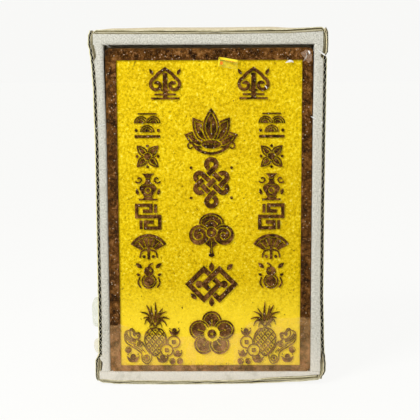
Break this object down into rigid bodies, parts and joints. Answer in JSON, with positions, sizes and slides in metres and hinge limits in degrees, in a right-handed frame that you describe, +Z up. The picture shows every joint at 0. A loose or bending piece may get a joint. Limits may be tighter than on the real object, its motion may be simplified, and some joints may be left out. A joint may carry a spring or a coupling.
{
  "type": "ancestor tablet",
  "caption": "Polished granite ancestor tablet with a gilded sunk field and raised ornament, packed with foam strips in a shallow corrugated-board tray.",
  "frame": {"origin": "middle of the underside of the packed tablet's box", "axes": "+Z up the tablet, -Y out of its carved face, +X to the viewer's right"},
  "size_m": [0.2068, 0.024, 0.3092],
  "materials": {
    "granite": "polished reddish-brown granite",
    "gilt": "gold-yellow paint over sandblasted stone",
    "foam": "pale grey expanded foam",
    "board": "brown kraft corrugated board"
  },
  "bodies": {
    "root": {"granite_tablet": "granite", "gilt_ground": "gilt", "gilt_eye_1": "gilt", "gilt_eye_2": "gilt", "gilt_eye_3": "gilt", "gilt_eye_4": "gilt", "foam_bottom": "foam", "foam_top": "foam", "foam_left": "foam", "foam_right": "foam", "tray_left_wall": "board", "tray_right_wall": "board", "tray_bottom_wall": "board", "tray_top_wall": "board", "tray_back_panel": "board"}
  },
  "joints": []
}
